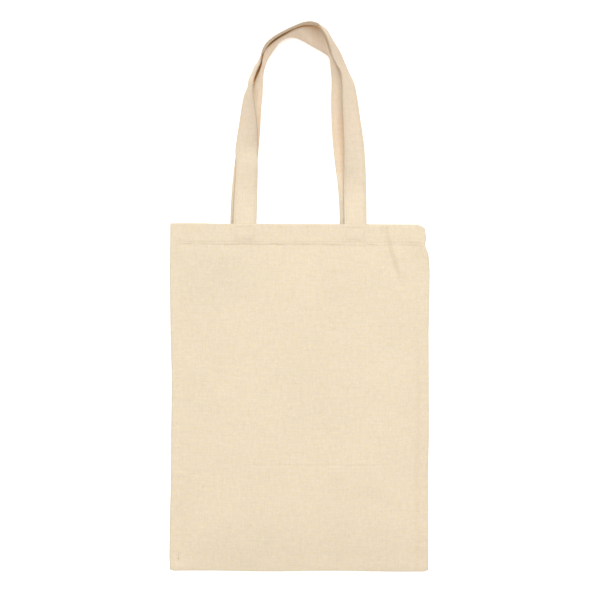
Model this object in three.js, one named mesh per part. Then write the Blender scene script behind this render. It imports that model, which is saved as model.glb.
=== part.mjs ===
// A flat cotton tote bag, laid on its back on a table with its two handles stretched out above the mouth.
// Millimetres. X runs across the bag, Y from the bottom fold to the handles, Z up from the table.
// The parts are laid out from the middle of the mouth's edge, and the whole group is then moved so that the
// origin is the middle of the underside of its bounding box.
import * as THREE from "three";

// Driving dimensions
const bagWidth = 260;
const bagHeight = 350;
const cloth = 0.6; // one layer of canvas
const gap = 0.3; // left between pieces that touch
const loft = 9; // height of the front panel's inner face over the table, in the middle of the bag
const hemHeight = 20;
const hemLayers = 3; // the panel itself, and the hem turned in twice
const strapWidth = 22.5;
const strapThick = 1.4;
const thread = 0.4;
const seamAllowance = 8.4; // width of the turned-in cloth along each side seam
const foldRun = 45; // how far from the bottom fold the front panel takes to rise to its full height
const cornerRun = 25; // how far below the hem the thick corners of the mouth reach

// Derived sizes
const half = bagWidth / 2;
const hemThick = hemLayers * cloth;
const hemInner = (hemLayers - 1) * cloth; // what the turned-in layers add to the panel
const lipRun = 1.2; // the panel's edge turns down to the side seam within this
const seamStart = 1.6; // from the side edge to the seam allowance
const seamTop = cloth + gap + 2 * cloth; // top of the two layers of allowance lying on the back panel
const overSeam = seamTop + gap; // the front panel's inner face, over the seam allowance
const rampStart = 11;
const rampEnd = 58;
const mouthTop = loft + cloth;
const frontStrapZ = loft - hemInner - gap - strapThick / 2;
const backStrapZ = hemThick + gap + strapThick / 2;

// Materials
const canvas = new THREE.MeshStandardMaterial({ color: 0xf0dfc3, roughness: 0.95, metalness: 0 });
const strapCloth = new THREE.MeshStandardMaterial({ color: 0xeedcc4, roughness: 0.95, metalness: 0 });
const cotton = new THREE.MeshStandardMaterial({ color: 0xf4e8d0, roughness: 0.8, metalness: 0 });

const bag = new THREE.Group();

function add(name, geometry, material) {
  const mesh = new THREE.Mesh(geometry, material);
  mesh.name = name;
  bag.add(mesh);
  return mesh;
}

// A closed slab over the grid lines xs and ys, whose two faces follow low(x, y) and high(x, y).
function slab(xs, ys, low, high) {
  const geometry = new THREE.BoxGeometry(1, 1, 1, xs.length - 1, ys.length - 1, 1);
  const at = geometry.getAttribute("position");
  for (let i = 0; i < at.count; i++) {
    const x = xs[Math.round((at.getX(i) + 0.5) * (xs.length - 1))];
    const y = ys[Math.round((at.getY(i) + 0.5) * (ys.length - 1))];
    at.setXYZ(i, x, y, at.getZ(i) < 0 ? low(x, y) : high(x, y));
  }
  return geometry;
}

// A plain block between two corners.
function block(low, high) {
  const size = high.map((v, i) => v - low[i]);
  const geometry = new THREE.BoxGeometry(...size);
  return geometry.translate(...low.map((v, i) => v + size[i] / 2));
}

// A smooth climb from 0 to 1 as t goes from 0 to 1.
const climb = (t) => Math.sin((Math.PI / 2) * Math.min(1, Math.max(0, t)));

// Height of the front panel's inner face at a distance from the side edge.
function sideRise(x) {
  const d = half - Math.abs(x);
  const edge = cloth + gap;
  if (d < lipRun) return edge + ((overSeam - edge) * d) / lipRun;
  return overSeam + (loft - overSeam) * climb((d - rampStart) / (rampEnd - rampStart));
}

// Height of the front panel's inner face at a distance from the bottom fold.
function foldRise(y) {
  const edge = cloth + gap;
  return edge + (loft - edge) * climb((y + bagHeight) / foldRun);
}

// At the mouth's corners the two hems lie on each other, which holds the panel higher.
const hemInside = (x) => Math.max(hemThick + gap, sideRise(x) - hemInner);
function frontInside(x, y) {
  if (y >= -hemHeight) return hemInside(x);
  const body = Math.min(sideRise(x), foldRise(y));
  const corner = hemInside(x) + hemInner;
  const share = Math.max(0, 1 + (y + hemHeight) / cornerRun);
  return body + Math.max(0, corner - body) * share;
}
function frontOutside(x, y) {
  return frontInside(x, y) + (y >= -hemHeight ? hemThick : cloth);
}

// Grid lines, closer together where the cloth bends
const hemStep = 0.3;
const sideLines = [130, 128.8, 119, 112, 104, 94, 84, 72];
const acrossLines = [...sideLines.map((x) => -x), ...sideLines.reverse()];
const foldLines = [0, 3, 8, 15, 24, 34, 45].map((d) => d - bagHeight);
const frontLines = [...foldLines, -hemHeight - cornerRun, -hemHeight - hemStep, -hemHeight, 0];

// The body is one length of canvas folded at the bottom. It is split here along that fold.
function panels() {
  add("front_panel", slab(acrossLines, frontLines, frontInside, frontOutside), canvas);
  const backTop = (x, y) => (y >= -hemHeight ? hemThick : cloth);
  const backLines = [-bagHeight, -hemHeight - hemStep, -hemHeight, 0];
  add("back_panel", slab([-half, half], backLines, () => 0, backTop), canvas);
}

// Turned-in cloth along each side seam, the row of stitches that closes the seam, and the overlocked edge.
function sideSeams() {
  const bottom = -bagHeight + 11;
  const top = -hemHeight - 0.6;
  const floor = cloth + gap;
  const raw = seamStart + seamAllowance;
  const strip = (side, from, to, high) => {
    const ends = [side * (half - from), side * (half - to)].sort((a, b) => a - b);
    return block([ends[0], bottom, floor], [ends[1], top, high]);
  };
  for (const [name, side] of [["left", -1], ["right", 1]]) {
    add(`${name}_seam_allowance`, strip(side, seamStart, raw, seamTop), canvas);
    add(`${name}_seam_thread`, strip(side, seamStart - 0.9, seamStart - gap, floor + thread), cotton);
    add(`${name}_overlock_thread`, strip(side, raw + gap, raw + gap + 0.7, seamTop), cotton);
  }
}

// Hem stitching: on the front it shows outside, and on the back panel's hem it is the row seen inside.
const hemRow = [-18.3, -17.7];
function hemStitches() {
  const rowLines = acrossLines.slice(1, -1);
  const over = (height) => (x, y) => frontOutside(x, y) + height;
  add("front_hem_stitch", slab(rowLines, hemRow, over(gap), over(gap + thread)), cotton);
  const reach = 104;
  const onBack = hemThick + gap;
  add("back_hem_stitch", block([-reach, hemRow[0], onBack], [reach, hemRow[1], onBack + thread]), cotton);
}

// A handle's route, as the two edges of its strap: the edge that rests on the table round the top of the loop,
// at (x, y, z), and the edge that stands above it there, at (x, y). The raised edge's height follows from the
// strap's width, or is the sixth number where the strap is curled under the other handle.
// The front strap rests on its outer edge, and the back strap, inside it, on its inner edge.
const frontRoute = [
  [-65.8, 0.5, frontStrapZ, -43.3, 0.5],
  [-64.6, 30, 5.6, -42.3, 30],
  [-63.2, 60, 4.8, -41.6, 60],
  [-61.6, 88, 4.2, -41.8, 88],
  [-59, 110, 2.8, -43, 110],
  [-55.2, 128, 1.2, -44.4, 128.5],
  [-50, 142, 1, -45.8, 144],
  [-44.4, 151, 1, -45.8, 154],
  [-39.4, 159, 1, -42.8, 163],
  [-34.4, 170, 1, -37.2, 173.6],
  [-27.6, 179.6, 1, -30.2, 184.2],
  [-17.6, 188.8, 1, -19.4, 192.8],
  [-6, 196.8, 1, -7, 199.4],
  [6.5, 202.4, 1, 6, 203.4],
  [17.5, 203.8, 1, 16.6, 203.4],
  [26.6, 199, 1, 24.6, 198.6],
  [33.6, 189.4, 1, 29.4, 189.6],
  [39.6, 178.4, 1, 32.8, 179.4],
  [44.8, 168, 1, 36.4, 169],
  [49.8, 156, 1, 40, 157.6],
  [54.6, 143, 1.1, 42.5, 144],
  [59.4, 125, 2, 43.6, 125.4],
  [63, 97, 3.6, 45, 97],
  [65.6, 70, 4.6, 45.2, 70],
  [67, 40, 5.4, 45, 40],
  [67.8, 0.5, frontStrapZ, 45.3, 0.5],
];
const backRoute = [
  [-45.7, 0.5, backStrapZ, -68.2, 0.5],
  [-44.5, 36, 1.8, -67, 36],
  [-42.2, 70, 1.8, -64.6, 70, 1.8],
  [-40, 94, 1.6, -60, 94, 1.8],
  [-38.4, 111, 1.2, -56, 112, 2],
  [-37.2, 127, 1, -48.8, 129, 5],
  [-36.8, 137, 1, -43.6, 138.6, 13],
  [-36.4, 146.5, 1, -41.6, 147.2],
  [-34.6, 157.5, 1, -38.2, 158.6],
  [-30, 169.4, 1, -34.8, 170.6],
  [-25.2, 177, 1, -30.4, 178.6],
  [-19.6, 182.6, 1, -23.8, 184.8],
  [-12, 186.8, 1, -15.2, 190],
  [-3, 187.8, 1, -6.2, 195],
  [5.4, 185.2, 1, 3, 198.4],
  [13.4, 181, 1, 11.4, 199.4],
  [21, 177, 1, 20, 196],
  [26.6, 174, 1, 26, 186],
  [30.4, 170.6, 1, 29.6, 176.6],
  [32.6, 165, 1, 32.8, 168.6],
  [33.2, 155, 1, 36.4, 157],
  [33.2, 146, 1, 39.6, 147.2, 18],
  [33, 136, 1, 45, 137.4, 7.5],
  [33, 122, 1.2, 51, 122.6, 2.4],
  [33.4, 100, 1.6, 53.8, 100, 1.8],
  [34.8, 75, 1.8, 56.6, 75, 1.8],
  [38.6, 42, 1.8, 61, 42],
  [42, 0.5, backStrapZ, 64.5, 0.5],
];

// The two edge curves of a route. Both run through the same stations, so one parameter serves both.
function edges(route) {
  const resting = route.map(([x, y, z]) => new THREE.Vector3(x, y, z));
  const raised = route.map(([ax, ay, az, bx, by, bz]) => {
    const run = Math.hypot(bx - ax, by - ay);
    const rise = Math.sqrt(Math.max(0, strapWidth ** 2 - run ** 2));
    return new THREE.Vector3(bx, by, bz ?? az + rise);
  });
  return [resting, raised].map((points) => new THREE.CatmullRomCurve3(points));
}

// A closed ribbon along a route. shares are the lines it has across the strap's width, counted from its resting
// edge, and low and high are distances from the strap's middle surface.
function ribbon(route, shares, [low, high]) {
  const [resting, raised] = edges(route);
  const steps = (route.length - 1) * 3;
  const columns = shares.length - 1;
  const geometry = new THREE.BoxGeometry(1, 1, 1, columns, steps, 1);
  const at = geometry.getAttribute("position");
  const place = new THREE.Vector3();
  for (let i = 0; i < at.count; i++) {
    const t = Math.round((at.getY(i) + 0.5) * steps) / steps;
    const a = resting.getPoint(t);
    const b = raised.getPoint(t);
    const across = b.clone().sub(a).normalize();
    const along = resting.getTangent(t).add(raised.getTangent(t)).normalize();
    const up = across.cross(along).normalize();
    place.lerpVectors(a, b, shares[Math.round((at.getX(i) + 0.5) * columns)]);
    place.addScaledVector(up, at.getZ(i) < 0 ? low : high);
    at.setXYZ(i, place.x, place.y, place.z);
  }
  return geometry;
}

// The free loop of a handle, with its two rows of edge stitching on the face that looks up at the mouth.
function handle(name, route, side) {
  const surface = strapThick / 2;
  const rows = { resting: [0.1, 0.12], raised: [0.88, 0.9] };
  const lines = [0, ...rows.resting, 0.5, ...rows.raised, 1];
  add(`${name}_loop`, ribbon(route, lines, [-surface, surface]), strapCloth);
  const levels = [surface + gap, surface + gap + thread].map((v) => v * side).sort((a, b) => a - b);
  for (const [row, shares] of Object.entries(rows)) {
    add(`${name}_${row}_edge_stitch`, ribbon(route, shares, levels), cotton);
  }
}

// The two ends of a handle, sewn to the inside of the hem, each with its box of stitches.
function handleEnds(name, route, level, stitchLevel) {
  const tail = 17.2;
  for (const [side, row] of [["left", route[0]], ["right", route[route.length - 1]]]) {
    const [from, to] = [row[0], row[3]].sort((a, b) => a - b);
    const z = level - strapThick / 2;
    add(`${name}_${side}_end`, block([from, -tail, z], [to, -gap, z + strapThick]), strapCloth);
    add(`${name}_${side}_box_stitch`, boxStitch((from + to) / 2, stitchLevel), cotton);
  }
}

// A rectangular row of stitches round the end of a strap.
function boxStitch(middle, level) {
  const reach = strapWidth / 2 - 2;
  const [bottom, top, row] = [-15.6, -2.6, 0.6];
  const outline = new THREE.Shape([
    new THREE.Vector2(middle - reach, bottom),
    new THREE.Vector2(middle + reach, bottom),
    new THREE.Vector2(middle + reach, top),
    new THREE.Vector2(middle - reach, top),
  ]);
  const opening = new THREE.Path([
    new THREE.Vector2(middle - reach + row, bottom + row),
    new THREE.Vector2(middle - reach + row, top - row),
    new THREE.Vector2(middle + reach - row, top - row),
    new THREE.Vector2(middle + reach - row, bottom + row),
  ]);
  outline.holes.push(opening);
  const geometry = new THREE.ExtrudeGeometry(outline, { depth: thread, bevelEnabled: false });
  return geometry.translate(0, 0, level);
}

panels();
sideSeams();
hemStitches();
handle("front_handle", frontRoute, 1);
handle("back_handle", backRoute, -1);
handleEnds("front_handle", frontRoute, frontStrapZ, mouthTop + gap);
handleEnds("back_handle", backRoute, backStrapZ, backStrapZ + strapThick / 2 + gap);

// Origin at the middle of the underside of the bounding box
const bounds = new THREE.Box3().setFromObject(bag);
const centre = bounds.getCenter(new THREE.Vector3());
bag.position.set(-centre.x, -centre.y, -bounds.min.z);

export default bag;
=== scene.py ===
import bmesh
import bpy
import numpy as np
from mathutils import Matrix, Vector


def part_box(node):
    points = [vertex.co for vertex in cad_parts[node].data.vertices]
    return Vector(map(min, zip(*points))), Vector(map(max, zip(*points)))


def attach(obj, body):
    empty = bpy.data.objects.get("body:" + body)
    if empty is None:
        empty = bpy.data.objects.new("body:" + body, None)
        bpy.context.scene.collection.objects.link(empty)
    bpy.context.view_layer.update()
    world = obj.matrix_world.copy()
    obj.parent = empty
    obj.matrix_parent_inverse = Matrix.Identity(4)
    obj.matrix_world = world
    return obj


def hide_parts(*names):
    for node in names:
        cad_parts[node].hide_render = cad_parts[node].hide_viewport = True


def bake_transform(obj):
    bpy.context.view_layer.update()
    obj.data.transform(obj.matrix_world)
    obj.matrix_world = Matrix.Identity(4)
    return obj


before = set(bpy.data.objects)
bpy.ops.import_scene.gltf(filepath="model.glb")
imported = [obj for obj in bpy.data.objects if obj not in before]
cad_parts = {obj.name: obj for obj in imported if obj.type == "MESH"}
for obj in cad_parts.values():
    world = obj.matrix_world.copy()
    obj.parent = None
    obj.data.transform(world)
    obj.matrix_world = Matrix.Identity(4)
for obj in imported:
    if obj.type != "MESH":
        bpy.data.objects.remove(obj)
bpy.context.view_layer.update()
mm = 0.001
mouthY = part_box("front_panel")[1].y  # the mouth's edge
print("frame loaded")


def smooth(t):
    # a climb from 0 to 1 that starts and ends level
    t = np.clip(t, 0, 1)
    return t * t * (3 - 2 * t)


def hump(d, width):
    # a bell of height 1 that is width wide to each side
    return np.exp(-((d / width) ** 2))


def valueNoise(x, y, size, seed):
    # random heights on a square lattice of that size, joined by smooth steps between the four nearest
    table = np.random.default_rng(seed).uniform(-1, 1, (64, 64))
    gx, gy = x / size, y / size
    ix, iy = np.floor(gx).astype(int), np.floor(gy).astype(int)
    fx, fy = smooth(gx - ix), smooth(gy - iy)
    low = table[ix % 64, iy % 64] * (1 - fx) + table[(ix + 1) % 64, iy % 64] * fx
    high = table[ix % 64, (iy + 1) % 64] * (1 - fx) + table[(ix + 1) % 64, (iy + 1) % 64] * fx
    return low * (1 - fy) + high * fy


def unit(v):
    # each vector divided by its length
    return v / np.maximum(np.linalg.norm(v, axis=-1, keepdims=True), 1e-12)


def gridNormals(points):
    # across the grid crossed with along the grid, at every point
    return unit(np.cross(np.gradient(points, axis=0), np.gradient(points, axis=1)))


def makeMesh(name, points, quads, uv=None, tint=None):
    # points in millimetres from the mouth's middle, quads as rows of four point numbers; tint multiplies the
    # material's colour at each point
    data = bpy.data.meshes.new(name)
    placed = points.reshape(-1, 3) * mm + np.array([0, mouthY, 0])
    data.from_pydata(placed.tolist(), [], quads.reshape(-1, 4).tolist())
    if uv is not None:
        layer = data.uv_layers.new(name="cloth")
        loops = np.zeros(len(data.loops), np.int32)
        data.loops.foreach_get("vertex_index", loops)
        layer.data.foreach_set("uv", (uv.reshape(-1, 2)[loops] * mm).ravel())
        shades = data.attributes.new("tint", "FLOAT_COLOR", "POINT")
        shades.data.foreach_set("color", np.insert(tint.reshape(-1, 3), 3, 1, axis=1).ravel())
    data.update()
    piece = bpy.data.objects.new(name, data)
    bpy.context.scene.collection.objects.link(piece)
    data.polygons.foreach_set("use_smooth", np.ones(len(data.polygons), bool))
    return piece


def gridQuads(rows, columns, first=0, wrapColumns=False):
    # one quad between each pair of neighbouring rows and columns
    i = np.arange(rows - 1)[:, None]
    j = np.arange(columns if wrapColumns else columns - 1)[None, :]
    k = (j + 1) % columns
    quads = np.stack([i * columns + j, (i + 1) * columns + j, (i + 1) * columns + k, i * columns + k], -1)
    return quads.reshape(-1, 4) + first


def thickSheet(name, points, uv, tint, thickness):
    # the sheet's middle surface moved half the thickness each way along its normal, and joined round its rim
    rows, columns = points.shape[:2]
    normals = gridNormals(points)
    top, under = points + normals * thickness / 2, points - normals * thickness / 2
    count = rows * columns
    upper = gridQuads(rows, columns)
    lower = gridQuads(rows, columns, count)[:, ::-1]
    ids = np.arange(count).reshape(rows, columns)
    rim = np.concatenate([ids[:, 0], ids[-1, 1:], ids[-2::-1, -1], ids[0, -2:0:-1]])
    after = np.roll(rim, -1)
    walls = np.stack([rim, rim + count, after + count, after], -1)
    quads = np.concatenate([upper, lower, walls[:, ::-1]])
    return makeMesh(name, np.concatenate([top.reshape(-1, 3), under.reshape(-1, 3)]), quads,
                    np.concatenate([uv.reshape(-1, 2)] * 2), np.concatenate([tint.reshape(-1, 3)] * 2))


def stitchRow(name, starts, ends, normals, radius, arch):
    # each stitch is a thread bowed up along the normal: height is arch times the sine of the way along,
    # and the thread thins to a third of its radius at its two ends
    rings, sides = 6, 6
    t = np.linspace(0, 1, rings)[None, :, None]
    along = unit(ends - starts)
    lift = unit(normals - np.sum(normals * along, -1, keepdims=True) * along)
    across = np.cross(along, lift)
    line = starts[:, None] * (1 - t) + ends[:, None] * t + lift[:, None] * arch * np.sin(np.pi * t)
    size = radius * (0.34 + 0.66 * np.sin(np.pi * t) ** 0.5)
    angle = np.linspace(0, 2 * np.pi, sides, endpoint=False)[None, None, :, None]
    ring = np.cos(angle) * across[:, None, None] + np.sin(angle) * lift[:, None, None]
    points = line[:, :, None] + size[:, :, None] * ring
    count = len(starts)
    one = gridQuads(rings, sides, wrapColumns=True)
    base = np.arange(count)[:, None, None] * rings * sides
    quads = (one[None] + base).reshape(-1, 4)
    cap = np.array([[0, 1, 2, 3], [0, 3, 4, 5]])
    last = (rings - 1) * sides
    caps = np.concatenate([cap, (cap + last)[:, ::-1]])
    quads = np.concatenate([quads, (caps[None] + base).reshape(-1, 4)])
    piece = makeMesh(name, points, quads)
    fixNormals(piece)
    return piece


def fixNormals(piece):
    work = bmesh.new()
    work.from_mesh(piece.data)
    bmesh.ops.recalc_face_normals(work, faces=work.faces)
    work.to_mesh(piece.data)
    work.free()
    piece.data.update()


bagShape = dict(
    half=130.0,  # half the bag's width
    length=350.0,  # mouth to bottom fold
    cloth=0.6,  # one layer
    hem=20.0,  # finished height of the hem
    mouthTurn=0.93,  # below the mouth's edge, where the cloth starts to turn over
    foldTurn=0.9,  # above the bottom fold's edge, where it starts to turn round
    foldBulge=0.6,  # how far the fold stands out past that
    edge=2.55,  # height of the front's outer layer at the side seams
    tuck=17.0,  # how far the raw edge is folded back up inside it
    pitch=0.62,  # between the middles of two layers pressed together
    loft=9.3,  # middle surface of the front's outer layer over the table
    foldRun=66.0,  # how far up from the bottom fold the front climbs to its full loft
    sideRun=58.0,  # how far in from a side seam it does
)

# Outline of the body's two sides, as (distance below the mouth, place of the edge)
leftOutline = np.array([[0, -129.8], [18, -129.9], [50, -130.4], [110, -129.6], [158, -128.3], [215, -129.1],
                        [260, -129.3], [300, -130.3], [336, -130.8], [350, -130.0]])
rightOutline = np.array([[0, 127.2], [5, 128.4], [12, 128.7], [18, 127.2], [24, 129.5], [32, 131.5],
                         [48, 132.4], [70, 132.1], [110, 131.2], [160, 131.4], [215, 131.5], [250, 130.6],
                         [350, 130.6]])


def outlineAt(outline, y):
    # straight between stations, then averaged over 5 mm so that it bends without corners
    offsets = np.linspace(-2.5, 2.5, 7)
    return np.mean([np.interp(-y + o, outline[:, 0], outline[:, 1]) for o in offsets], axis=0)


def cornerDrop(across):
    # the mouth's right-hand corner is rounded off
    return -4.2 * np.clip((across - 249.5) / 10.5, 0, 1) ** 2.4


def mouthLine(across):
    # how far the mouth's edge strays from straight
    return 0.3 * np.sin(across / 29 + 1) + 0.2 * np.sin(across / 11.5) - 0.7 * hump(across - 205, 50)


def slant(x, y):
    # the bag lies turned by a fraction of a degree, and its bottom fold sags a little past square
    return -0.5 * x / 130 * (0.6 + 0.4 * smooth((y + 60) / 60)) - 0.45 * smooth((-y - 300) / 50)


def climb(t):
    # a quarter of a sine
    return np.sin(np.pi / 2 * np.clip(t, 0, 1))


def strapEndRelief(x, y):
    # 1 over the two strap ends sewn inside the front hem, falling to 0 within a millimetre of their edges
    over = 0
    for left, right in ((-65.8, -43.3), (45.3, 67.8)):
        over = over + smooth((x - left + 1.0) / 1.4) * smooth((right + 1.0 - x) / 1.4)
    return over * smooth((y + 20) / 10)


def creaseAlong(x, y, line):
    # distance from a line between two points in widths, and how much of the crease is left near its two ends;
    # bend bows the line sideways by a parabola
    a, b = np.array(line["start"], float), np.array(line["end"], float)
    length = np.linalg.norm(b - a)
    along = (b - a) / length
    t = (x - a[0]) * along[0] + (y - a[1]) * along[1]
    d = (x - a[0]) * along[1] - (y - a[1]) * along[0]  # positive on the line's right-hand side
    d = d - line.get("bend", 0) * 4 * (t / length) * (1 - t / length)
    ends = smooth(t / line["fade"]) * smooth((length - t) / line["fade"])
    return d / line["width"], ends


# Each crease runs from start to end: step is the fall across it, and groove the depth along it
wrinkles = dict(
    packing=dict(start=(-70, -243.0), end=(100, -243.6), width=1.3, fade=30, step=0.13, groove=0.10),
    corner=dict(start=(87, 8), end=(106, -64), width=3.8, fade=22, step=1.25, groove=0.40, bend=2.6),
    cornerLow=dict(start=(92, -24), end=(98, -50), width=5.5, fade=9, step=0.55, groove=0.2),
    pucker=dict(start=(38.5, -4), end=(47.5, -20.5), width=1.6, fade=5, step=0.0, groove=-0.25),
    zigzagA=dict(start=(-124, -251.5), end=(-108, -255.5), width=1.8, fade=5, step=0.0, groove=-0.35),
    zigzagB=dict(start=(-111, -255.5), end=(-97, -251.0), width=1.6, fade=5, step=0.0, groove=0.30),
    leftHemA=dict(start=(-106, -5), end=(-96, -18), width=1.5, fade=5, step=0.0, groove=0.12),
    leftHemB=dict(start=(-98, -4), end=(-88, -17), width=1.5, fade=5, step=0.0, groove=-0.12),
    lowRight=dict(start=(64, -262), end=(120, -300), width=9, fade=24, step=0.35, groove=0.0),
    midLeft=dict(start=(-118, -120), end=(-60, -190), width=10, fade=26, step=-0.30, groove=0.0),
)


def plateauHeight(d, y):
    # a plateau that climbs by a quarter of a sine from the side seams and from the bottom fold, whichever is
    # lower, with a rounded valley where the two slopes meet
    s = bagShape
    seamFlat, foldLow = 10, 1.5
    side = s["edge"] + (s["loft"] - s["edge"]) * climb((d - seamFlat) / (s["sideRun"] - seamFlat))
    bottom = foldLow + (s["loft"] - foldLow) * climb((y + s["length"] - s["foldTurn"]) / s["foldRun"])
    z = np.minimum(side, bottom)
    z = z - np.maximum(0, 5 - np.abs(side - bottom)) ** 2 / 20 * smooth((y + s["length"]) / 12)
    hemLow = 3.6  # three layers over the back keep the hem at least this high
    return z + np.maximum(0, hemLow - z) * smooth((y + s["hem"] + 25) / 25)


def alongHem(x, size, seed):
    # noise that changes only across the bag
    return valueNoise(x + 200, 0 * x, size, seed)


def hemStep(x, y, d, plateau):
    # how far one layer lies below the hem's three, pulled down unevenly by the row of stitches, and a mask
    # that is 1 below the hem
    hemEdge = y + bagShape["hem"] + 0.5 + 0.35 * alongHem(x, 8, 33) + 0.2 * alongHem(x, 3.1, 34)
    below = smooth((0.8 - hemEdge) / 2.0)
    uneven = 0.50 + 0.45 * alongHem(x, 7.5, 31) + 0.95 * alongHem(x, 2.9, 32) + 0.5 * smooth((-x - 95) / 15)
    fall = 0.40 * uneven.clip(0) * hump(hemEdge, 6) + 0.35 * plateau * hump(hemEdge, 40)
    return smooth(d / 5) * below * fall, below


def frontHeight(x, y, left, right):
    # middle surface of the front's outer layer: the plateau, lower where the hem sags between the straps,
    # with the hem's step, creases, seam ridges, puckers and slow waves added
    s = bagShape
    d = np.minimum(x - left, right - x)
    inHem = smooth((y + s["hem"] + 0.4) / 0.8)
    z = plateauHeight(d, y)
    # the plateau between and outside the straps settles a little
    plateau = smooth((d - 20) / 40) * smooth((y + s["length"] - 20) / 50)
    sag = 0.6 * plateau * smooth((y + 46) / 34)
    z = z - sag * (1 - strapEndRelief(x, y))
    fall, below = hemStep(x, y, d, plateau)
    z = z - fall - 0.05 * hump(y + 18.2, 0.8) * smooth(d / 4)
    # the seam allowance shows through along the sides
    ridge = smooth((d - 1.5) / 3) * smooth((10.4 - d) / 1.5)
    strength = np.where(x > 0, smooth((-y - 66) / 30), 0.45 + 0.3 * np.sin(y / 31))
    z = z + 0.42 * ridge * strength * below
    # puckers along the rows of stitching
    z = z + 0.10 * np.sin(y / 1.9 + 2.2 * np.sin(y / 23)) * hump(d - 3, 7) * below
    hemPucker = np.sin(x / 1.55 + 2.6 * np.sin(x / 17)) + 0.6 * np.sin(x / 0.83 + 1)
    z = z + 0.08 * hemPucker * hump(y + 18.4, 6) * smooth(d / 8)
    for line in wrinkles.values():
        q, ends = creaseAlong(x, y, line)
        z = z + ends * (-line["step"] * q * np.exp(0.5 - q * q) - line["groove"] * np.exp(-q * q))
    inside = smooth(d / 14) * smooth((y + s["length"]) / 18)
    slow = 0.55 * valueNoise(x + 300, y + 700, 74, 3) + 0.20 * valueNoise(x + 300, y + 900, 31, 5)
    fine = 0.055 * valueNoise(x + 300, y + 900, 12, 8) + 0.03 * valueNoise(x + 300, y + 900, 6, 9)
    z = z + inside * ((slow + fine) * (1 - 0.6 * inHem) - 0.25) * (1 - strapEndRelief(x, y))
    return z


def backHeight(x, y, left, right):
    # middle surface of the back's outer layer: on the table, lifted a little here and there, never below it
    s = bagShape
    lift = 0.22 + 0.22 * valueNoise(x + 500, y + 500, 46, 21)
    d = np.minimum(x - left, right - x)
    lift = lift * smooth((d - 4) / 20) * smooth((y + s["length"] - 6) / 20) * smooth(-y / 30)
    return s["cloth"] / 2 + 0.02 + lift


def layPath():
    # the cloth's way from the raw edge inside the front hem, over the mouth, down the front, round the bottom
    # fold, up the back and into the back hem: rows of (y, depth under the outer layer, share of the back)
    s = bagShape
    step = 2.2  # between rows where the cloth is plain
    turn, wide = s["pitch"] / 2, s["pitch"]
    hemLow = -s["hem"] + 0.6 + turn

    def run(a, b, size):
        return np.linspace(a, b, max(2, int(abs(b - a) / size) + 1))

    def arc(y0, h0, radius, start, stop, n):
        a = np.linspace(start, stop, n)
        return y0 - radius * np.sin(a), h0 - radius * np.cos(a)

    rows = []
    y = run(hemLow + s["tuck"], hemLow, step)
    rows.append((y, y * 0 + wide))
    ya, ha = arc(hemLow, wide + turn, turn, 0, np.pi, 7)
    rows.append((ya[1:], ha[1:]))
    y = run(hemLow, -s["mouthTurn"], step)[1:]
    rows.append((y, y * 0 + 2 * wide))
    a = np.linspace(np.pi, 0, 11)[1:]
    rows.append((-s["mouthTurn"] + wide * np.sin(a), wide - wide * np.cos(a)))
    # down the front: (where a stretch ends, its step), closer at the hem, the packing crease and the fold
    stretches = [(-17.2, 1.1), (-22.4, 0.4), (-232, step), (-262, 0.9), (-s["length"] + 6, step),
                 (-s["length"] + s["foldTurn"], 0.8)]
    begins = [-s["mouthTurn"]] + [end for end, size in stretches]
    y = np.concatenate([run(begin, end, size)[1:] for begin, (end, size) in zip(begins, stretches)])
    rows.append((y, y * 0))
    front = np.concatenate([np.stack([r[0], r[1], r[0] * 0], 1) for r in rows])
    a = np.linspace(0, np.pi, 11)[1:-1]
    foldY = -s["length"] + s["foldTurn"] - s["foldBulge"] * np.sin(a)
    foldRow = np.stack([foldY, a * 0, smooth(a / np.pi)], 1)
    # the back is plain and flat, so below its hem every third row is enough
    back = front[::-1].copy()
    keep = (back[:, 1] > 0) | (np.arange(len(back)) % 3 == 0) | (back[:, 0] > -24)
    back = back[keep]
    back[:, 2] = 1
    return np.concatenate([front, foldRow, back])


def bodyTint(x, y, d, depth, back):
    # painted shade darkens the folded edges at the sides and the mouth, where the cloth turns away; a broad
    # patch under the hem's left half is a shade duller
    rim = np.maximum(hump(d, 0.9), hump(y + 0 * x - 0.2, 0.9) * (depth > 0.1))
    patch = hump(x + 86, 42) * hump(y + 48, 36) * (1 - back)
    tint = 1.006 - rim[..., None] * np.array([0.22, 0.20, 0.14])
    tint = tint - patch[..., None] * np.array([0.036, 0.030, 0.016])
    # rosier low down and over the right-hand seam allowance; painted shade, rosier and darker, in the
    # corner's crease and beside it under the hem
    q, ends = creaseAlong(x, y, dict(wrinkles["corner"], width=1.9))
    seamLine = (x > 0) * (hump(d - 11.5, 2.2) + 0.4 * smooth((12 - d) / 2)) * smooth((-y - 95) / 70)
    rosy = smooth((-y - 180) / 100) * 0.3 + seamLine + 1.3 * hump(q, 1) * ends
    rosy = rosy + hump(x - 117, 14) * hump(y + 26, 9)
    return tint - (rosy * (1 - back))[..., None] * np.array([0.012, 0.032, 0.036])


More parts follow.
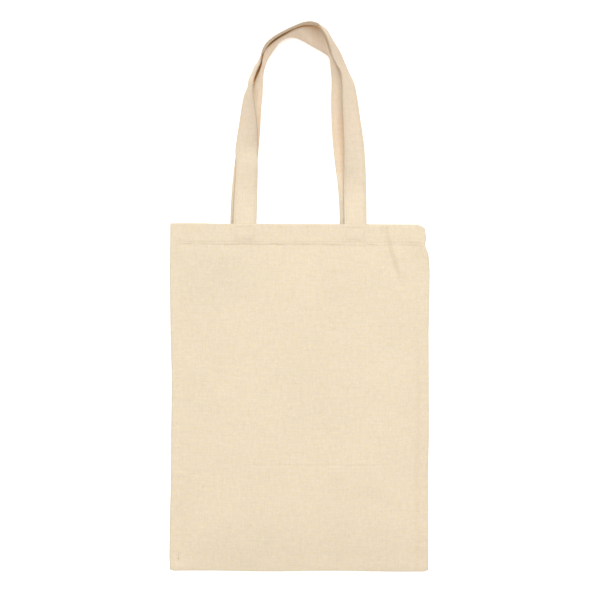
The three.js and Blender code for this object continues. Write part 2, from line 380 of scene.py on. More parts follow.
def buildBody():
    # the path of layPath carried across the bag, with the two sides rolled down to the seams
    s = bagShape
    path = layPath()
    flatAlong = np.concatenate([[0], np.cumsum(np.hypot(np.diff(path[:, 0]), np.diff(path[:, 1])))])
    # closer columns at the two sides, where the cloth rolls down to the seam
    rolled, plain = 3.2, 16
    close = rolled * (1 - np.cos(np.linspace(0, np.pi / 2, 9)))
    sideColumns = np.concatenate([close, np.linspace(rolled, plain, 9)[1:]])
    middle = np.linspace(plain, 2 * s["half"] - plain, 109)[1:-1]
    across = np.concatenate([sideColumns, middle, 2 * s["half"] - sideColumns[::-1]])
    y, depth, back = (path[None, :, i] for i in range(3))
    across = across[:, None]
    left, right = outlineAt(leftOutline, y), outlineAt(rightOutline, y)
    x = left + (right - left) * across / (2 * s["half"])
    # the layers turned inside end a little short of the seams
    inward = depth / (2 * s["pitch"])
    x = x + np.sign(x) * -1.1 * inward * hump(np.minimum(x - left, right - x), 3)
    d = np.minimum(x - left, right - x).clip(0)
    yMoved = y + (mouthLine(across) * (1 - back) + cornerDrop(across)) * smooth((y + 40) / 40) + slant(x, y)
    yMoved = yMoved + 0.35 * np.sin(across / 21) * smooth((-y - s["length"] + 40) / 40)
    # the bottom fold's two corners are a little rounded
    yMoved = yMoved + 1.6 * (1 - np.clip(d / 5, 0, 1)) ** 2 * smooth((-y - s["length"] + 12) / 12)
    top = frontHeight(x, y + 0 * x, left, right)
    low = backHeight(x, y + 0 * x, left, right)
    front = top - depth
    rear = low + depth
    fold = np.arccos(np.clip(1 - 2 * back, -1, 1))  # 0 on the front, half a turn on the back
    z = front * (1 - back) + rear * back
    inFold = (back > 0) & (back < 1)
    z = np.where(inFold, (top + low) / 2 + (top - low) / 2 * np.cos(fold), z)
    # the outer layers roll down, or up, to the side seam: a quarter of an ellipse
    hemRoll = smooth((y + 24) / 5) * smooth((x - 60) / 40)
    roll = 1.9 + 8.5 * hemRoll * (1 - back)
    k = np.sqrt(np.clip(1 - (1 - np.clip(d / roll, 0, 1)) ** 2, 0, 1))
    outer = 1 - np.clip(inward, 0, 1)
    seam = 1.25 + 0.75 * smooth((y + 26) / 8)
    target = np.where(back > 0.5, seam - 0.34, seam + 0.34)
    k = 1 - (1 - k) * outer * (1 - inFold)
    z = target + (z - target) * k
    x = x - np.sign(x) * 0.5 * (1 - smooth(d / 0.5)) * outer * (1 - inFold)
    points = np.stack([x, yMoved, z], -1)
    uv = np.stack([across + 0 * y, flatAlong[None, :] + 0 * x], -1)
    piece = thickSheet("bodyCloth", points, uv, bodyTint(x, y, d, depth, back), s["cloth"])
    fixNormals(piece)
    return piece


bodyCloth = buildBody()
print("body cloth:", len(bodyCloth.data.polygons), "faces")

# A route's rows: the edge that rests on the table round the top of the loop (x, y, z), then the edge raised
# above it there (x, y), with a height only where the strap is curled, and last how far its belly sticks out.
frontHandle = dict(
    width=22.5,
    thick=1.4,
    face=1,  # across turned into along points up at the mouth
    route=[
        [-66.3, -17.2, 6.8, -43.2, -17.2, 6.8],
        [-66.3, -8, 6.8, -43.2, -8, 6.8],
        [-66.2, 0.5, 6.7, -42.8, 0.5, 6.7],
        [-65, 30, 5.6, -42, 30],
        [-63.4, 58, 4.8, -41.4, 58],
        [-63.8, 75.9, 4, -41.7, 76.8],
        [-62.2, 88, 3.4, -41.5, 88.8],
        [-60.3, 100.2, 2.8, -42.1, 101.2],
        [-58.3, 111.8, 2, -43.3, 112.7],
        [-56, 124.4, 1.3, -45.1, 124.7, 20, 0.3],
        [-53.2, 133.5, 1, -46.2, 134.3, 20, 1.2],
        [-45.6, 143.1, 1, -45.9, 142.8, 18.5, 4.9],
        [-40.8, 150.4, 1, -43.9, 150.1, 17.5, 4.5],
        [-38.2, 156.5, 1, -41.3, 156.1, 18, 4.9],
        [-35.7, 162.7, 1, -38.6, 162.1, 19, 3.4],
        [-34.1, 167.8, 1, -37.6, 167.4, 20.5, 2.2],
        [-32.5, 172.4, 1, -37, 172.6, 21.5, 0.6],
        [-28.8, 179.1, 1, -33.2, 180.4],
        [-22.6, 184.9, 1, -26.6, 186.6],
        [-13.5, 191, 1, -15.7, 193.4],
        [-3.2, 196, 1, -4.9, 198.3],
        [5, 198.3, 1, 3.6, 201.8],
        [12.1, 199.3, 1, 11.5, 202.8],
        [18, 199.5, 1, 17.7, 201.6],
        [20.9, 200.5, 1, 20, 200.3],
        [23.4, 199.8, 1, 21.5, 197.2],
        [28.7, 194.7, 1, 24.6, 192.6],
        [32.8, 187.7, 1, 28.2, 185.8],
        [38.2, 179, 1, 31, 177],
        [42.8, 170.9, 1, 33, 169.4],
        [46.6, 161.8, 1, 36.7, 161.7],
        [50.3, 153.2, 1, 41.6, 152.9],
        [55.3, 142.6, 1, 42.9, 141.8],
        [58.8, 127.5, 1, 43.5, 126.3],
        [61.9, 106.2, 2.2, 44.3, 105.7],
        [65, 85, 3.6, 45.1, 84.7],
        [66.9, 63.8, 4.6, 45.5, 63.6],
        [67.7, 40, 5.4, 45.2, 40],
        [68.2, 0.5, 6.7, 45.7, 0.5, 6.7],
        [68.2, -8, 6.8, 45.7, -8, 6.8],
        [68.2, -17.2, 6.8, 45.7, -17.2, 6.8],
    ],
    nodes=["front_handle_loop", "front_handle_left_end", "front_handle_right_end"],
    body="front_handle",
    pressedLines=[(2.6, 0.16), (54.6, 0.10), (31.5, 0.06)],  # (distance above the mouth, depth)
    buckleSeed=57,
)
backHandle = dict(
    width=22.5,
    thick=1.4,
    face=-1,
    route=[
        [-46.6, -17.2, 2.8, -69.1, -17.2, 2.8],
        [-46.6, -8, 2.8, -69.1, -8, 2.8],
        [-46.5, 0.5, 2.75, -69, 0.5, 2.75],
        [-45, 36, 1.8, -67.4, 36, 1.8],
        [-40.5, 76, 1.8, -62.8, 76, 1.8],
        [-38.7, 100.2, 1.6, -59.8, 100.2, 1.8],
        [-37.7, 118.4, 1.2, -54.3, 118.8, 2.6],
        [-36.6, 129.5, 1, -49.2, 131.3, 6],
        [-36.5, 138.6, 1, -45.7, 140, 12],
        [-36.3, 146.2, 1, -42.1, 146.6, 16.5],
        [-35.7, 153.7, 1, -38.8, 153.3, 18.2],
        [-34.2, 159.8, 1, -37, 159.8, 17.6, -0.6],
        [-31.8, 166.3, 1, -36.3, 166.4, 16.5, -1],
        [-27.8, 172.5, 1, -34.1, 173.9, 15, -1.2],
        [-23.8, 178.6, 1, -29.6, 178.8, 14.5, -1.4],
        [-19.3, 184.2, 1, -22, 185, 14.5, -1.4],
        [-11.9, 188, 1, -13.9, 190.1, 14.5, -1],
        [-3.4, 188.1, 1, -4.4, 195.6, 14.4, -0.6],
        [4.6, 184.3, 1, 3.2, 198.3, 13],
        [12.9, 179.3, 1, 10.7, 199.3, 9.2],
        [20.8, 175, 1, 20.6, 198.2, 6],
        [26.8, 171.6, 1, 26.4, 190.6, 9.5],
        [30.4, 168.8, 1, 29.5, 180.1, 14.5],
        [32, 164.1, 1, 31.7, 171.8, 17.5],
        [32.5, 157.9, 1, 35.8, 164.1, 17],
        [33.2, 148.6, 1, 41.9, 152.3, 12.5],
        [32.9, 137.1, 1, 47.8, 137.8, 7],
        [32.6, 124.5, 1.1, 51, 124.4, 3.6],
        [32.8, 110.3, 1.4, 53.7, 110.3, 2],
        [34.1, 84.6, 1.8, 56.3, 84.6, 1.8],
        [36.5, 61.3, 1.8, 58.9, 61.3, 1.8],
        [39.6, 36.1, 1.8, 62, 36.1, 1.8],
        [41.4, 0.5, 2.75, 63.9, 0.5, 2.75],
        [41.4, -8, 2.8, 63.9, -8, 2.8],
        [41.4, -17.2, 2.8, 63.9, -17.2, 2.8],
    ],
    nodes=["back_handle_loop", "back_handle_left_end", "back_handle_right_end"],
    body="back_handle",
    pressedLines=[(3.4, 0.14), (92, 0.08)],
    buckleSeed=56,
)


def throughStations(at, values, t):
    # a smooth curve through stations: on each stretch a cubic whose slopes at the ends are those of the chord
    # between the neighbouring stations
    slope = np.gradient(values, at, axis=0)
    i = np.clip(np.searchsorted(at, t, side="right") - 1, 0, len(at) - 2)
    h = (at[i + 1] - at[i])[:, None]
    u = ((t - at[i])[:, None] / h).clip(0, 1)
    a, b, ma, mb = values[i], values[i + 1], slope[i] * h, slope[i + 1] * h
    curve = (2 * u**3 - 3 * u**2 + 1) * a + (u**3 - 2 * u**2 + u) * ma
    return curve + (3 * u**2 - 2 * u**3) * b + (u**3 - u**2) * mb


def strapFrame(handle, spacing):
    # both edges of the strap, its bulge and belly, and the directions along it and up from its face, at even
    # steps along its middle
    width = handle["width"]
    low, high, bulge, belly = [], [], [], []
    for row in handle["route"]:
        run = np.hypot(row[3] - row[0], row[4] - row[1])
        rise = row[5] - row[2] if len(row) > 5 else np.sqrt(max(0, width**2 - run**2))
        chord = np.hypot(run, rise)
        low.append(row[:3])
        high.append([row[3], row[4], row[2] + rise])
        # an arc of the strap's width over that chord; a slack strap keeps a slight curl
        curled = len(row) == 6 and width - chord > 0.6
        bulge.append([0.4 * np.sqrt(0.375 * chord * (width - chord)) if curled else 0.0])
        belly.append([row[6] if len(row) > 6 else 0.0])
    low, high, bulge, belly = (np.array(v, float) for v in (low, high, bulge, belly))
    middle = (low + high) / 2
    at = np.concatenate([[0], np.cumsum(np.linalg.norm(np.diff(middle, axis=0), axis=1))])
    fine = np.linspace(0, at[-1], 3000)
    centre = throughStations(at, middle, fine)
    length = np.concatenate([[0], np.cumsum(np.linalg.norm(np.diff(centre, axis=0), axis=1))])
    even = np.linspace(0, length[-1], int(length[-1] / spacing) + 1)
    t = np.interp(even, length, fine)
    a, b, s, c = (throughStations(at, v, t) for v in (low, high, bulge, belly))
    along = unit(np.gradient((a + b) / 2, axis=0))
    upward = unit(np.cross(unit(b - a), along)) * handle["face"]
    return dict(a=a, b=b, bulge=s, belly=c, along=along, up=upward, length=even)


def strapPoints(handle, f, share, level):
    # a point at a share of the width, moved off the middle surface by level: on the chord between the edges,
    # raised by the bulge times a parabola and pushed out of the loop by the belly times the same, with fine
    # buckles across the strap
    length = f["length"][:, None]
    base = f["a"][:, None] * (1 - share[..., None]) + f["b"][:, None] * share[..., None]
    outward = unit(np.cross([0, 0, 1], f["along"] * [1, 1, 0]))
    base = base + outward[:, None] * (f["belly"] * 4 * share * (1 - share))[..., None]
    arch = f["bulge"] * 4 * share * (1 - share)
    lateral = share * handle["width"]
    freed = smooth((base[..., 1] - 4) / 16)
    seed = handle["buckleSeed"]
    buckle = 0.20 * valueNoise(length + 90, lateral + 60, 13, seed)
    buckle = buckle + 0.10 * valueNoise(length + 90, lateral + 60, 5.5, seed + 1)
    shape = buckle * freed
    for place, depth in handle["pressedLines"]:
        pressed = hump(base[..., 1] - place - 0.08 * (lateral - 11), 0.9)
        shape = shape - depth * pressed * np.sign(level + 1e-6)
    points = base + f["up"][:, None] * (shape + level)[..., None]
    points[..., 2] = np.maximum(points[..., 2] + arch, 0.1)  # the table stops it
    return points


def strapProfile(handle):
    # half the thickness at each share of the width: rounded edges, a dip at each row of stitching, a little
    # loft between the rows, and a slot in the raised edge where the two folds of the cloth meet
    w, h = handle["width"], handle["thick"] / 2
    q = np.array([0.0, 0.12, 0.35, 0.7, 1.15, 1.6, 1.95, 2.25, 2.55, 2.9, 3.6, 5, 7, 9, 11.25])
    q = np.concatenate([q, w - q[-2::-1]])
    d = np.minimum(q, w - q)
    rounded = np.sqrt(np.clip(1 - (1 - np.clip(d / 0.62, 0, 1)) ** 2, 0, 1))
    level = h * (0.14 + 0.86 * rounded) * (0.97 + 0.06 * smooth((d - 2.6) / 3)) - 0.11 * hump(d - 2.25, 0.42)
    return q / w, level


def strapTint(handle, points, share, offsets):
    # duller and rosier towards the grip; painted shade along the two edges
    x, y = points[..., 0], points[..., 1]
    lateral = share * handle["width"]
    edge = np.minimum(lateral, handle["width"] - lateral)
    grip = smooth((y - 140) / 25)
    dullingAndPaintedShade = 0.09 * smooth((y - 10) / 110) + 0.20 * hump(edge, 0.8)
    top = offsets > 0
    # painted shade and painted light on the top face only: the front strap's grip is darkened right of the
    # middle and lightened a little on its left side, and the back strap's top face, which the front strap
    # shades, is lightened, least at the grip's right
    if handle["face"] > 0:
        dullingAndPaintedShade = dullingAndPaintedShade + top * (0.12 * grip * smooth(x / 15) - 0.015 * smooth(-x / 15) * smooth((y - 60) / 40))
    else:
        dullingAndPaintedShade = dullingAndPaintedShade - top * (0.13 * smooth((y - 20) / 30) + 0.04 * grip - 0.07 * grip * smooth((x - 8) / 12))
    rosy = 1 + smooth((y - 60) / 40)[..., None] * np.array([0.012, -0.010, 0.0])
    rosy = rosy + grip[..., None] * [0, -0.014, 0.0]
    return (1.02 - dullingAndPaintedShade[..., None]) * rosy


def buildStrap(name, handle):
    # the strap's profile carried along its frame: one face from edge to edge, then the other face back
    f = strapFrame(handle, 1.7)
    share, half = strapProfile(handle)
    count = len(f["length"])
    shares = np.concatenate([share, share[::-1]])
    levels = np.concatenate([half, -half[::-1]])
    slotShare = np.array([1 - 0.55 / handle["width"]])
    shares = np.insert(shares, len(share), slotShare)
    levels = np.insert(levels, len(share), 0)
    grid = np.tile(shares, (count, 1))
    offsets = np.tile(levels, (count, 1))
    # the two cut ends are folded under, so they taper
    ends = np.minimum(f["length"], f["length"][-1] - f["length"])
    offsets = offsets * (0.55 + 0.45 * smooth(ends / 2.5))[:, None]
    points = strapPoints(handle, f, grid, offsets)
    flat = np.stack([np.tile(np.concatenate([share, [1], 2 - share[::-1]]) * handle["width"], (count, 1)),
                     np.tile(f["length"][:, None], (1, len(shares)))], -1)
    columns = len(shares)
    quads = gridQuads(count, columns, wrapColumns=True)
    near = np.arange(columns // 2 - 1)
    far = columns - 1 - near
    cap = np.stack([near, near + 1, far - 1, far], 1)
    quads = np.concatenate([quads, cap[:, ::-1], cap + (count - 1) * columns])
    return makeMesh(name, points, quads, flat, strapTint(handle, points, grid, offsets)), f


def closeHoles(piece):
    # merges doubled points, fills open ends and turns every face outwards
    work = bmesh.new()
    work.from_mesh(piece.data)
    bmesh.ops.remove_doubles(work, verts=work.verts, dist=1e-7)
    bmesh.ops.holes_fill(work, edges=work.edges, sides=64)
    bmesh.ops.recalc_face_normals(work, faces=work.faces)
    work.to_mesh(piece.data)
    work.free()
    piece.data.update()


frontStrap, frontFrame = buildStrap("frontStrap", frontHandle)
backStrap, backFrame = buildStrap("backStrap", backHandle)
for strap in (frontStrap, backStrap):
    closeHoles(strap)
print("straps:", len(frontStrap.data.polygons) + len(backStrap.data.polygons), "faces")

# radius of the thread, from one stitch to the next, the length that shows, and how high a stitch bows
sewing = dict(thread=0.17, pitch=2.9, shown=2.4, arch=0.12)


def frontPlace(x, y, lift):
    # a point on the front's outer face, from its place across and along the bag
    left, right = outlineAt(leftOutline, y), outlineAt(rightOutline, y)
    across = (x - left) / (right - left) * 2 * bagShape["half"]
    z = frontHeight(x, y, left, right) + bagShape["cloth"] / 2 + lift
    drop = (mouthLine(across) + cornerDrop(across)) * smooth((y + 40) / 40) + slant(x, y)
    return np.stack([x, y + drop, z], -1)


def evenly(a, b):
    # the starts of the stitches that fit between two ends
    return np.arange(min(a, b), max(a, b) - sewing["shown"], sewing["pitch"])


def up(count, sign=1):
    # one normal for each stitch, straight up or down
    return np.tile([0, 0, sign], (count, 1)).astype(float)


def straightStitches(lines, place, sign):
    # stitches along straight lines from (x, y) to (x, y) on the surface that place gives
    starts, ends = [], []
    for a, b in lines:
        a, b = np.array(a, float), np.array(b, float)
        length = np.linalg.norm(b - a)
        t = evenly(0, length)[:, None]
        wander = 0.07 * np.sin(t * 1.7 + a[0]) * np.array([[(b - a)[1], (b - a)[0]]]) / length
        starts.append(a + (b - a) * t / length + wander)
        ends.append(a + (b - a) * (t + sewing["shown"]) / length + wander)
    starts, ends = np.concatenate(starts), np.concatenate(ends)
    return place(starts[:, 0], starts[:, 1]), place(ends[:, 0], ends[:, 1]), up(len(starts), sign)


def joinRows(*rows):
    return [np.concatenate(part) for part in zip(*rows)]


def flatPlace(z):
    return lambda x, y: np.stack([x, y, z + 0 * x], -1)


def onFront(x, y):
    return frontPlace(x, y, 0.04)


def underFrontHem(x, y):
    return frontPlace(x, y, -bagShape["cloth"] - 2 * bagShape["pitch"] - 0.02)


def sew(name, rows, node):
    piece = stitchRow(name, *rows, sewing["thread"], sewing["arch"])
    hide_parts(node)
    return piece


hemLine = [((-126, -18), (124.5, -18))]
hemInsideLine = [((-119, -18), (118, -18))]
frontHemStitches = sew("frontHemStitches", joinRows(straightStitches(hemLine, onFront, 1),
                                                    straightStitches(hemInsideLine, underFrontHem, -1)),
                       "front_hem_stitch")
backHemStitches = sew("backHemStitches", joinRows(straightStitches(hemLine, flatPlace(0.31), -1),
                                                  straightStitches(hemInsideLine, flatPlace(1.93), 1)),
                      "back_hem_stitch")


def boxLines(middle):
    # a rectangle inside the strap's edges
    x0, x1, y0, y1 = middle - 9, middle + 9, -15.3, -2.9
    return [((x0, y0), (x1, y0)), ((x1, y0), (x1, y1)), ((x1, y1), (x0, y1)), ((x0, y1), (x0, y0))]


boxStitches = []
for handle, outside, inside in (
    (frontHandle, (onFront, 1), (flatPlace(6.05), -1)),
    (backHandle, (flatPlace(0.31), -1), (flatPlace(3.55), 1)),
):
    for side, row in (("left", handle["route"][0]), ("right", handle["route"][-1])):
        lines = boxLines((row[0] + row[3]) / 2)
        rows = joinRows(straightStitches(lines, *outside), straightStitches(lines, *inside))
        boxName = f"{handle['body']}_{side}_box"
        boxStitches.append(sew(boxName, rows, f"{boxName}_stitch"))


def strapStitches(name, handle, f, share):
    # a row of stitches at that share of the strap's width, on both faces
    free = (f["length"] > 17) & (f["length"] < f["length"][-1] - 17)
    first, last = f["length"][free][[0, -1]]
    starts = evenly(first, last)
    ends = starts + sewing["shown"]
    rows = []
    for sign in (1, -1):
        placed = []
        for lengths in (starts, ends):
            g = {k: np.stack([np.interp(lengths, f["length"], v[:, i]) for i in range(v.shape[1])], -1)
                 for k, v in f.items() if k != "length"}
            g["length"] = lengths
            shares = np.full((len(lengths), 1), share)
            placed.append(strapPoints(handle, g, shares, shares * 0 + sign * 0.63)[:, 0])
            normals = g["up"] * sign
        rows.append((placed[0], placed[1], normals))
    return stitchRow(name, *joinRows(*rows), sewing["thread"], sewing["arch"])


edgeStitches = []
for handle, f in ((frontHandle, frontFrame), (backHandle, backFrame)):
    for row, share in (("resting", 0.1), ("raised", 0.9)):
        stitches = strapStitches(f"{handle['body']}_{row}_stitches", handle, f, share)
        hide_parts(f"{handle['body']}_{row}_edge_stitch")
        edgeStitches.append((stitches, handle["body"]))
sewnRows = [frontHemStitches, backHemStitches, *boxStitches, *(piece for piece, body in edgeStitches)]
print("sewn:", sum(len(piece.data.polygons) for piece in sewnRows), "faces of thread")

seam = dict(
    near=2.1,  # the turn at the seam, in from the side
    raw=10.0,  # the raw edges
    bottom=-338.5,
    top=-20.8,
    lowLayer=1.3,  # heights of the two layers' middles
    highLayer=1.86,
    cloth=0.5,
    turns=2.5,  # from one turn of the overlock to the next
    thread=0.13,
    stitchIn=2.9,  # the row of stitches, in from the side
    stitchHigh=2.13,
)


def buildAllowance(side):
    # two layers lying on each other, joined by a tight turn at the seam and open at the overlocked edge
    s = seam
    y = np.linspace(s["bottom"], s["top"], 200)[None, :]
    run = np.linspace(s["raw"], s["near"] + 0.3, 7)
    a = np.linspace(-np.pi / 2, np.pi / 2, 7)[1:-1]
    mid, half = (s["lowLayer"] + s["highLayer"]) / 2, (s["highLayer"] - s["lowLayer"]) / 2
    d = np.concatenate([run, s["near"] + 0.3 - half * np.cos(a), run[::-1]])[:, None]
    z = np.concatenate([run * 0 + s["lowLayer"], mid + half * np.sin(a), run * 0 + s["highLayer"]])[:, None]
    waver = 0.22 * np.sin(y / 13) * (d - s["near"]) / s["raw"]
    edge = -outlineAt(leftOutline, y) if side < 0 else outlineAt(rightOutline, y)
    x = side * (edge - d - waver)
    points = np.stack([x, y + 0 * d, z + 0 * y], -1)
    uv = np.stack([d + 0 * y, y + 0 * d], -1)
    name = "left" if side < 0 else "right"
    piece = thickSheet(f"{name}Allowance", points, uv, np.ones_like(points), s["cloth"])
    fixNormals(piece)
    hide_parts(f"{name}_seam_allowance")
    return piece


def tube(name, line, radius, sides=5):
    # a round thread carried along a line: at each point a ring square to the line's direction
    along = unit(np.gradient(line, axis=0))
    first = unit(np.cross(along, np.array([0.3, 0.9, 0.31])))
    second = np.cross(along, first)
    a = np.linspace(0, 2 * np.pi, sides, endpoint=False)[None, :, None]
    points = line[:, None] + radius * (np.cos(a) * first[:, None] + np.sin(a) * second[:, None])
    quads = gridQuads(len(line), sides, wrapColumns=True)
    piece = makeMesh(name, points, quads)
    closeHoles(piece)
    return piece


def buildOverlock(side):
    # the thread circles the raw edges as a flattened helix: across follows a cosine, height a sine
    s = seam
    name = "left" if side < 0 else "right"
    y = np.linspace(s["bottom"] + 1, s["top"] - 1, 1700)
    turn = 2 * np.pi * y / s["turns"]
    edge = -outlineAt(leftOutline, y) if side < 0 else outlineAt(rightOutline, y)
    d = 8.45 + 1.85 * np.cos(turn + 0.5 * np.sin(turn))
    x = side * (edge - d - 0.22 * np.sin(y / 13))
    z = 1.58 + 0.60 * np.sin(turn)
    piece = tube(f"{name}Overlock", np.stack([x, y, z], -1), s["thread"])
    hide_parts(f"{name}_overlock_thread")
    return piece


def buildSeamStitches(side):
    # one straight row on the allowance, just inside the side
    name = "left" if side < 0 else "right"
    t = evenly(seam["bottom"], seam["top"])

    def place(y):
        edge = -outlineAt(leftOutline, y) if side < 0 else outlineAt(rightOutline, y)
        return np.stack([side * (edge - seam["stitchIn"]), y, y * 0 + seam["stitchHigh"]], -1)

    piece = stitchRow(f"{name}SeamStitches", place(t), place(t + sewing["shown"]), up(len(t)), 0.14, 0.06)
    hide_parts(f"{name}_seam_thread")
    return piece


seamPieces = []
for side in (-1, 1):
    seamPieces += [buildAllowance(side), buildOverlock(side), buildSeamStitches(side)]
print("side seams sewn")

cotton = dict(
    body=(0.776, 0.667, 0.508),
    strap=(0.758, 0.648, 0.500),
    thread=(0.73, 0.62, 0.46),
    threads=0.56,  # mm from one yarn to the next
    seed=(0.30, 0.17, 0.07),
    creamy=(1.012, 0.992, 0.890),  # what the two kinds of fibre multiply the colour by
    greyish=(0.998, 0.998, 1.040),
    # the gap's reach in metres, how open it is where the warm colour is full and where it is gone, the
    # colour's multiplier, and how far from the strap's ends it starts and is full, in metres
    warmth=dict(reach=0.020, shut=0.28, open=0.51, tint=(1.25, 0.94, 0.48), ends=(0.035, 0.070)),
)


class Nodes:
    # short ways to add and join shader nodes
    def __init__(self, name):
        self.material = bpy.data.materials.new(name)
        self.material.use_nodes = True
        self.tree = self.material.node_tree
        self.shader = self.tree.nodes["Principled BSDF"]

    def add(self, kind, inputs=(), **settings):
        node = self.tree.nodes.new(kind)
        for key, value in settings.items():
            setattr(node, key, value)
        for key, value in dict(inputs).items():
            if isinstance(value, bpy.types.NodeSocket):
                self.tree.links.new(value, node.inputs[key])
            else:
                node.inputs[key].default_value = value
        return node

    def math(self, operation, a, b=0.0):
        return self.add("ShaderNodeMath", {0: a, 1: b}, operation=operation).outputs[0]

    def mapped(self, vector, scale):
        return self.add("ShaderNodeMapping", {"Vector": vector, "Scale": scale}).outputs[0]

    def mixed(self, share, first, second):
        return self.add("ShaderNodeMix", {0: share, 6: first, 7: second}, data_type="RGBA").outputs[2]

    def multiplied(self, a, b):
        return self.add("ShaderNodeVectorMath", {0: a, 1: b}, operation="MULTIPLY").outputs[0]

    def noise(self, vector, scale, detail=2.0, roughness=0.5):
        place = self.mapped(vector, scale)
        inputs = {"Vector": place, "Scale": 1.0, "Detail": detail, "Roughness": roughness}
        return self.add("ShaderNodeTexNoise", inputs).outputs["Fac"]

    def ranged(self, value, low, high, toLow, toHigh):
        inputs = {"Value": value, "From Min": low, "From Max": high, "To Min": toLow, "To Max": toHigh}
        return self.add("ShaderNodeMapRange", inputs).outputs[0]


def shaded(colour, factors):
    return (*(c * k for c, k in zip(colour, factors)), 1)


def clothMaterial(name, colour, relief, seeds=1.0, warmth=None, length=0.0):
    # a plain weave with slubs, mottle, fibres of two colours and specks of husk, on the cloth's own UV map
    n = Nodes(name)
    uv = n.add("ShaderNodeUVMap", uv_map="cloth").outputs[0]
    parts = n.add("ShaderNodeSeparateXYZ", {0: uv})
    yarn = np.pi / (cotton["threads"] * mm)
    # each yarn is a rounded ridge; which of the two lies on top changes from one crossing to the next
    a = n.math("SINE", n.math("MULTIPLY", parts.outputs[0], yarn))
    b = n.math("SINE", n.math("MULTIPLY", parts.outputs[1], yarn))
    over = n.math("GREATER_THAN", n.math("MULTIPLY", a, b), 0.0)
    ridgeA, ridgeB = n.math("ABSOLUTE", a), n.math("ABSOLUTE", b)
    warpTop = n.math("MULTIPLY", n.math("POWER", ridgeA, 0.9), n.math("POWER", ridgeB, 0.3))
    weftTop = n.math("MULTIPLY", n.math("POWER", ridgeA, 0.3), n.math("POWER", ridgeB, 0.9))
    weave = n.add("ShaderNodeMix", {0: over, 2: weftTop, 3: warpTop}).outputs[0]
    # yarns spun thick and thin: noise drawn out along each of the two directions
    warpSlub = n.noise(uv, (700, 60, 1), 3)
    weftSlub = n.noise(uv, (45, 760, 1), 3)
    slubs = n.math("ADD", warpSlub, weftSlub)
    mottle = n.noise(uv, (240, 240, 240), 4, 0.62)
    patches = n.noise(uv, (17, 17, 17), 2)
    flecks = n.noise(uv, (640, 640, 640), 3, 0.6)
    tone = n.noise(uv, (310, 310, 310), 3, 0.6)
    shade = 1.0
    for pattern, low, high, darkest, lightest in (
        (slubs, 0.7, 1.3, -0.034, 0.034),
        (mottle, 0.3, 0.7, -0.034, 0.034),
        (flecks, 0.3, 0.7, -0.040, 0.040),
        (patches, 0.3, 0.7, -0.012, 0.012),
        (weave, 0.0, 1.0, -0.055, 0.025),
    ):
        shade = n.math("ADD", shade, n.ranged(pattern, low, high, darkest, lightest))
    # raw cotton: creamier and greyer fibres side by side
    creaminess = n.ranged(tone, 0.32, 0.68, 0, 1)
    fibres = n.mixed(creaminess, shaded(colour, cotton["greyish"]), shaded(colour, cotton["creamy"]))
    base = n.add("ShaderNodeVectorMath", {0: fibres, "Scale": shade}, operation="SCALE").outputs[0]
    # specks of seed husk: small dots in a few of the cells, and short pale brown fibres
    for size, radius, share, stretch, strength in (
        (95, 0.034, 0.09, (1, 1, 1), 0.80),
        (260, 0.075, 0.12, (1, 1, 1), 0.40),
        (150, 0.060, 0.14, (1, 0.28, 1), 0.30),
    ):
        place = n.mapped(uv, tuple(size * v for v in stretch))
        cells = n.add("ShaderNodeTexVoronoi", {"Vector": place, "Scale": 1.0, "Randomness": 1.0})
        drawn = n.add("ShaderNodeSeparateColor", {0: cells.outputs["Color"]}).outputs[0]
        dot = n.ranged(cells.outputs["Distance"], radius * 0.6, radius, 1, 0)
        dot = n.math("MULTIPLY", dot, n.math("LESS_THAN", drawn, share))
        base = n.mixed(n.math("MULTIPLY", dot, strength * seeds), base, (*cotton["seed"], 1))
    # the tint attribute holds colour shifts together with painted shade on folded edges and creases, and
    # painted shade and light on the strap faces
    base = n.multiplied(base, n.add("ShaderNodeAttribute", attribute_name="tint").outputs["Color"])
    if warmth:
        # light that has passed through thin cloth turns warm in the narrow gap between two handles; it fades
        # out towards the strap's two ends, where the hem shuts the strap in and no light comes through
        openness = n.add("ShaderNodeAmbientOcclusion", {"Distance": warmth["reach"]}, samples=8).outputs["AO"]
        shutIn = n.ranged(openness, warmth["shut"], warmth["open"], 1, 0)
        toEnd = n.math("MINIMUM", parts.outputs[1], n.math("SUBTRACT", length, parts.outputs[1]))
        shutIn = n.math("MULTIPLY", shutIn, n.ranged(toEnd, *warmth["ends"], 0, 1))
        base = n.mixed(shutIn, base, n.multiplied(base, warmth["tint"]))
    n.tree.links.new(base, n.shader.inputs["Base Color"])
    height = n.math("ADD", weave, n.math("MULTIPLY", slubs, 0.9))
    height = n.math("ADD", height, n.math("MULTIPLY", mottle, 0.9))
    bump = n.add("ShaderNodeBump", {"Height": height, "Strength": relief, "Distance": 0.00022})
    n.tree.links.new(bump.outputs[0], n.shader.inputs["Normal"])
    n.shader.inputs["Roughness"].default_value = 0.92
    n.shader.inputs["Specular IOR Level"].default_value = 0.12
    return n.material


def threadMaterial(name, colour):
    # two plies: slanting bands on Object coordinates
    n = Nodes(name)
    place = n.add("ShaderNodeTexCoord").outputs["Object"]
    inputs = {"Vector": n.mapped(place, (1, 1, 0.6)), "Scale": 900.0, "Distortion": 0.6}
    bands = n.add("ShaderNodeTexWave", inputs, wave_type="BANDS", bands_direction="DIAGONAL").outputs["Fac"]
    base = n.mixed(bands, shaded(colour, (0.93, 0.93, 0.93)), (*colour, 1))
    n.tree.links.new(base, n.shader.inputs["Base Color"])
    bump = n.add("ShaderNodeBump", {"Height": bands, "Strength": 0.4, "Distance": 0.00008})
    n.tree.links.new(bump.outputs[0], n.shader.inputs["Normal"])
    n.shader.inputs["Roughness"].default_value = 0.7
    n.shader.inputs["Sheen Weight"].default_value = 0.1
    return n.material


def dress(piece, material):
    piece.data.materials.clear()
    piece.data.materials.append(material)


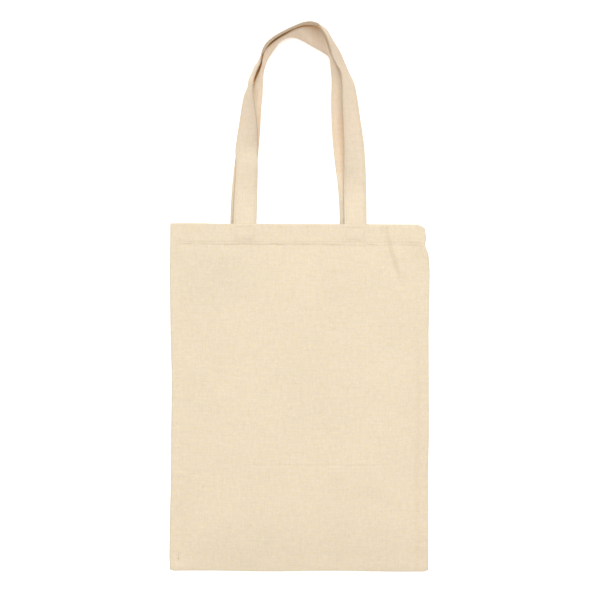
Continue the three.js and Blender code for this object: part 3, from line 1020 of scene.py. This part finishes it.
bodyCotton = clothMaterial("bodyCotton", cotton["body"], 0.55)
strapLength = (frontFrame["length"][-1] + backFrame["length"][-1]) / 2 * mm
strapCotton = clothMaterial("strapCotton", cotton["strap"], 0.5, 0.7, cotton["warmth"], strapLength)
sewingCotton = threadMaterial("sewingCotton", cotton["thread"])
dress(bodyCloth, bodyCotton)
for strap in (frontStrap, backStrap):
    dress(strap, strapCotton)
for piece in seamPieces:
    isCloth = "Allowance" in piece.name
    dress(piece, bodyCotton if isCloth else sewingCotton)
for piece in sewnRows:
    dress(piece, sewingCotton)
print("cotton made")

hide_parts("front_panel", "back_panel")
for piece in [bodyCloth, frontHemStitches, backHemStitches, *boxStitches, *seamPieces]:
    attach(piece, "bag")
for strap, handle in ((frontStrap, frontHandle), (backStrap, backHandle)):
    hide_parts(*handle["nodes"])
# the straps and their rows of edge stitches have their placement applied to their points
for piece, body in [(frontStrap, "front_handle"), (backStrap, "back_handle"), *edgeStitches]:
    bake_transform(piece)

studio = dict(
    floor=0.95,  # the paper's grey
    floorHalf=6,  # half the floor's side, in metres
    floorTop=-0.0001,  # just under the bag
    glow=0.32,
    world=0.752,
    key=198,  # the lamp's power, side and place
    keySize=4.2,
    keyPlace=(0.2, 3.4, 4.0),
)

floorData = bpy.data.meshes.new("floor")
far, low = studio["floorHalf"], studio["floorTop"]
corners = [(-far, -far, low), (far, -far, low), (far, far, low), (-far, far, low)]
floorData.from_pydata(corners, [], [(0, 1, 2, 3)])
floor = bpy.data.objects.new("floor", floorData)
bpy.context.scene.collection.objects.link(floor)
paper = Nodes("paper")
for socket, value in (
    ("Base Color", (*[studio["floor"]] * 3, 1)),
    ("Roughness", 0.9),
    ("Emission Color", (1, 1, 1, 1)),
    ("Emission Strength", studio["glow"]),
):
    paper.shader.inputs[socket].default_value = value
floorData.materials.append(paper.material)

world = bpy.data.worlds.new("room")
world.use_nodes = True
background = world.node_tree.nodes["Background"]
background.inputs["Color"].default_value = (1, 1, 1, 1)
background.inputs["Strength"].default_value = studio["world"]
bpy.context.scene.world = world


def softbox(name, place, size, power):
    # a square lamp that points at the middle of the bag
    light = bpy.data.lights.new(name, "AREA")
    light.shape = "SQUARE"
    light.size = size
    light.energy = power
    lamp = bpy.data.objects.new(name, light)
    bpy.context.scene.collection.objects.link(lamp)
    lamp.location = place
    lamp.rotation_euler = (-Vector(place)).to_track_quat("-Z", "Y").to_euler()


softbox("keyLight", studio["keyPlace"], studio["keySize"], studio["key"])

# straight above the bag: where it looks, how high it is, and how wide a stretch of floor it takes in
view = dict(centre=(0.0012, -0.0046), height=5.0, across=0.6058, sensor=36)
lens = bpy.data.cameras.new("camera")
lens.sensor_width = view["sensor"]
lens.lens = view["sensor"] * view["height"] / view["across"]
camera = bpy.data.objects.new("camera", lens)
camera.location = (*view["centre"], view["height"])
lens.clip_end = 30
bpy.context.scene.collection.objects.link(camera)
bpy.context.scene.camera = camera
bpy.context.scene.view_settings.view_transform = "Standard"
print("scene lit")
